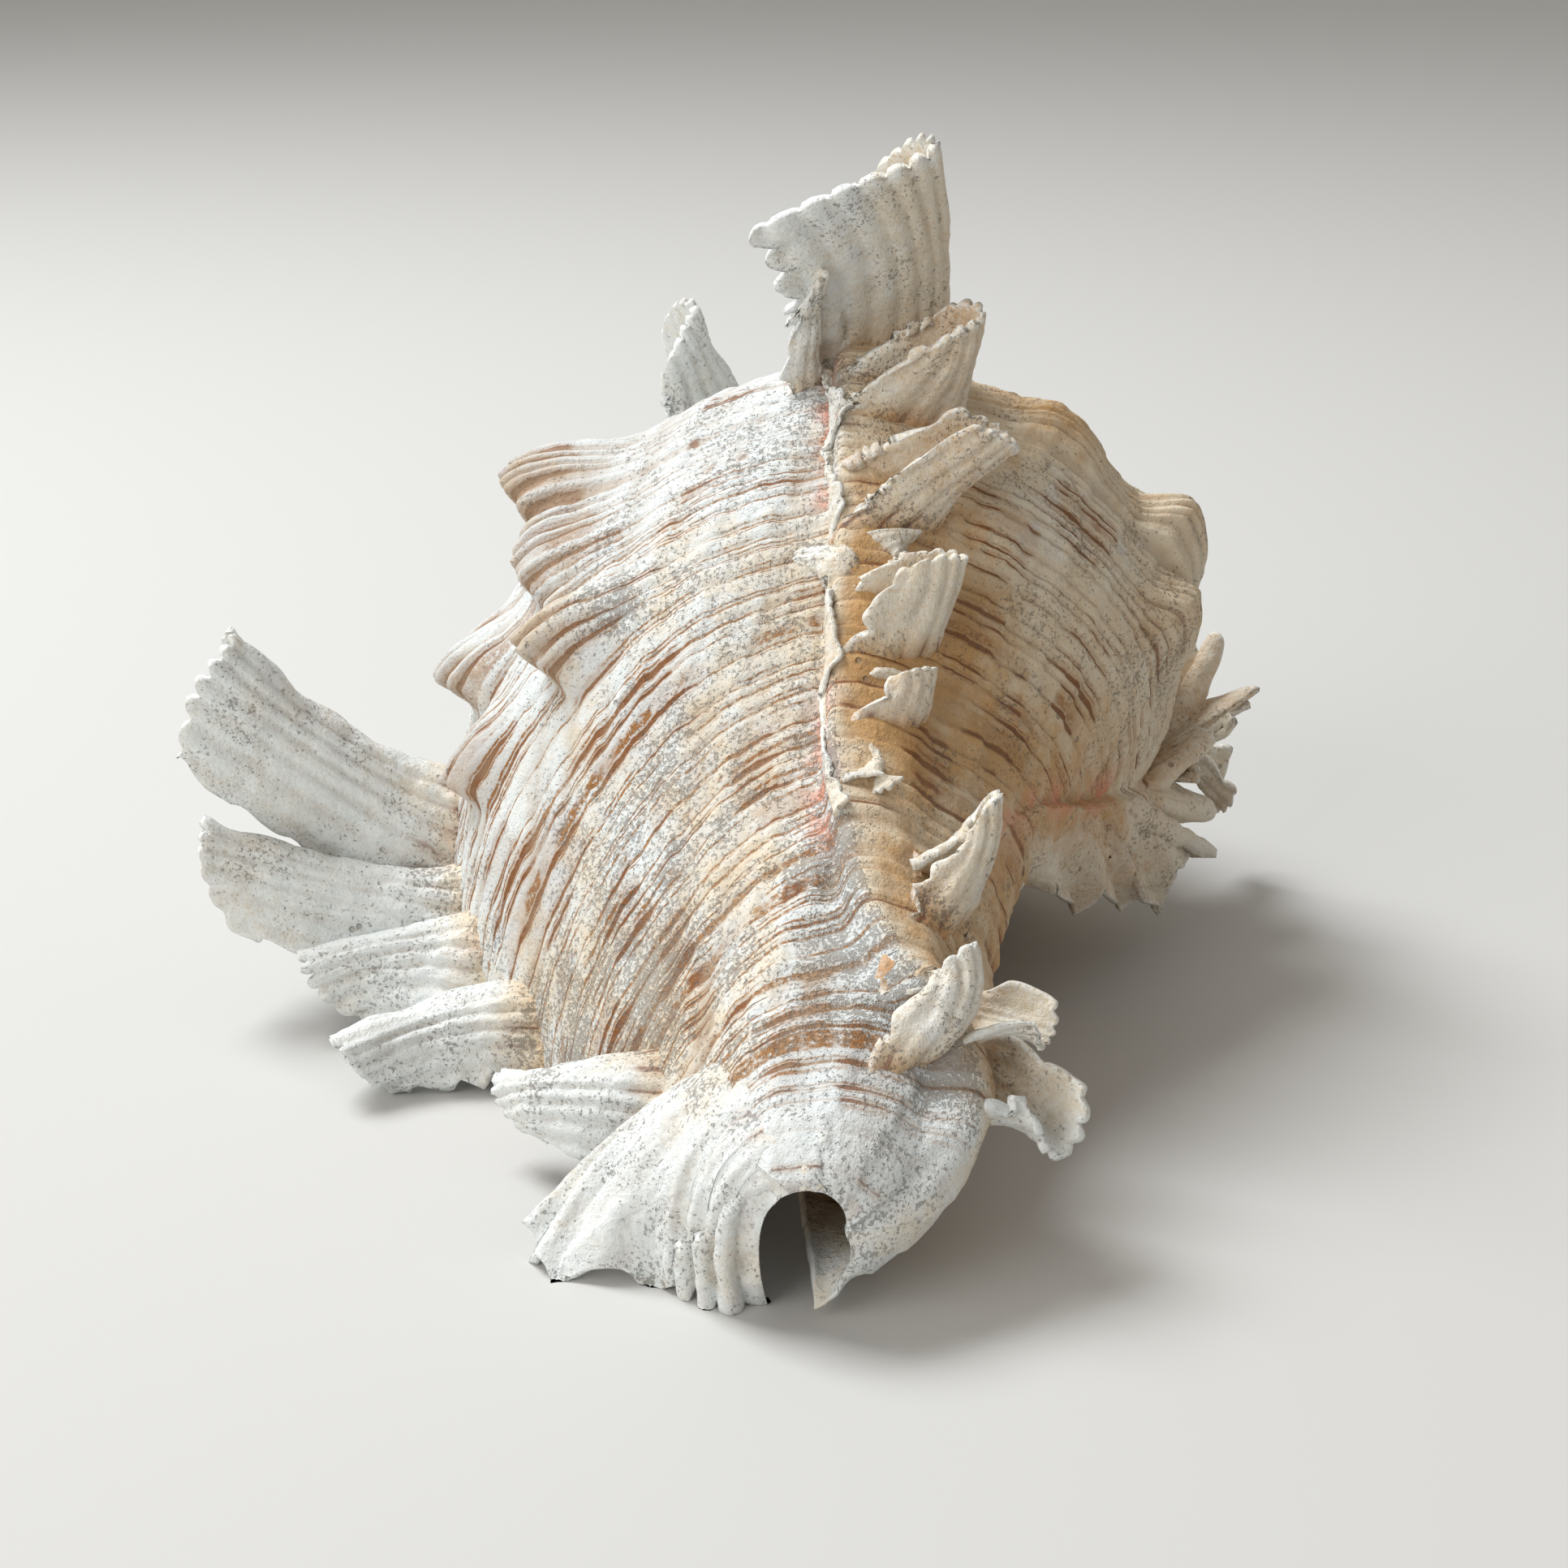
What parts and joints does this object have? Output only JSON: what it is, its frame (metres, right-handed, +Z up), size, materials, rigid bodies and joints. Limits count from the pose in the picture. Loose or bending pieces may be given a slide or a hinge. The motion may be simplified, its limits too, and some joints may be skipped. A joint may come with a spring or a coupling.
{
  "type": "murex shell",
  "caption": "Ramose murex shell with an inflated ribbed whorl, rows of open folded fronds along its varices, a short spire and an open siphonal canal.",
  "frame": {"origin": "centre of the bounding box at the height of the resting surface", "axes": "+Y from the siphonal canal towards the apex, +Z up as it rests with its aperture down, +X to the right seen from the canal"},
  "size_m": [0.1414, 0.1612, 0.1133],
  "materials": {
    "shell": "chalky, sun-bleached shell, rough, with orange-brown spiral lines"
  },
  "bodies": {
    "root": {"murex_shell": "shell"}
  },
  "joints": []
}
